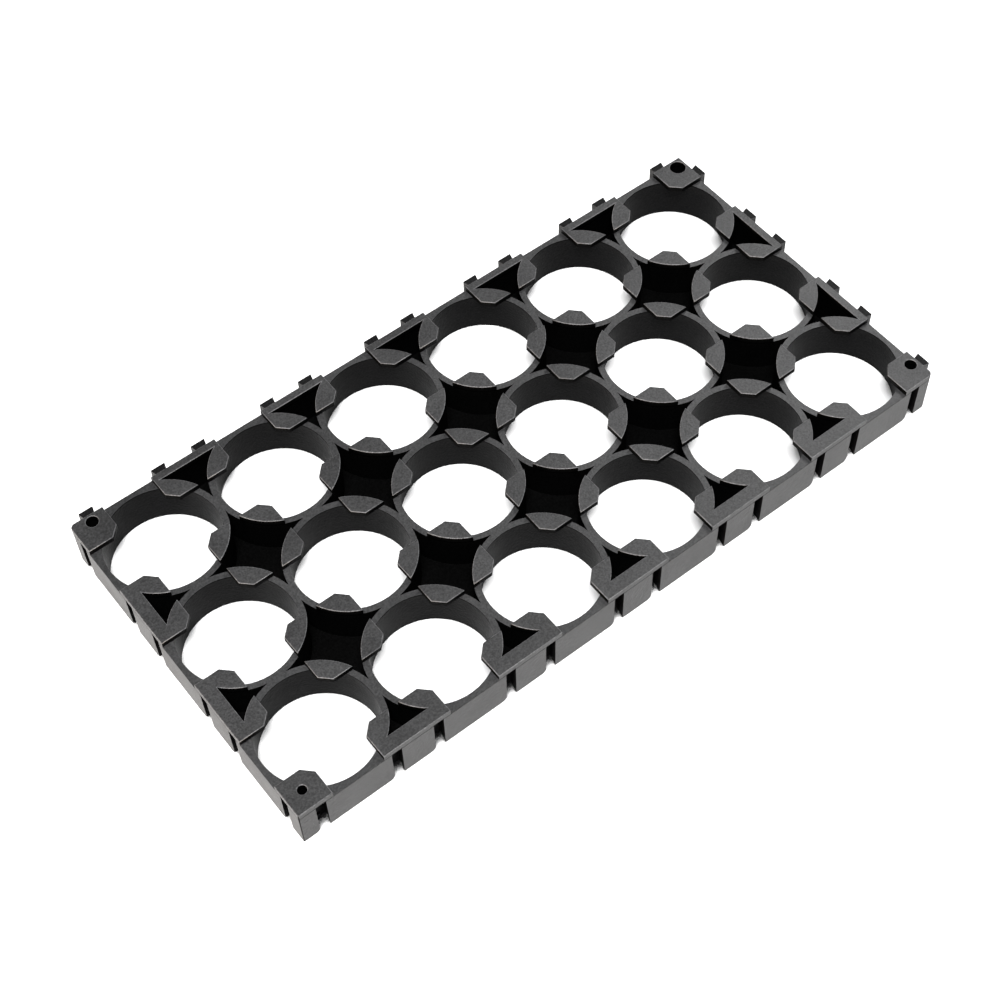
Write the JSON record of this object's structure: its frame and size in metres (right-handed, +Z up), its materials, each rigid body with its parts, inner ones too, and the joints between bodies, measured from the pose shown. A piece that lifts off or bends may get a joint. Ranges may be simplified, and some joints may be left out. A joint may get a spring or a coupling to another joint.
{
  "type": "battery cell holder bracket",
  "caption": "Rectangular moulded plastic bracket with a grid of round cell seats, stop tabs between them, and sliding dovetail slots and ribs that join it to like brackets.",
  "frame": {"origin": "centre of the body's flat underside, ribs left out", "axes": "+X along the longer row of cells towards the ribbed end, +Y across towards the ribbed long side, +Z up through the stop tabs"},
  "size_m": [0.1234, 0.0626, 0.0082],
  "materials": {
    "black_plastic": "fine spark-eroded texture, satin black"
  },
  "bodies": {
    "root": {"cell_holder_bracket": "black_plastic"}
  },
  "joints": []
}
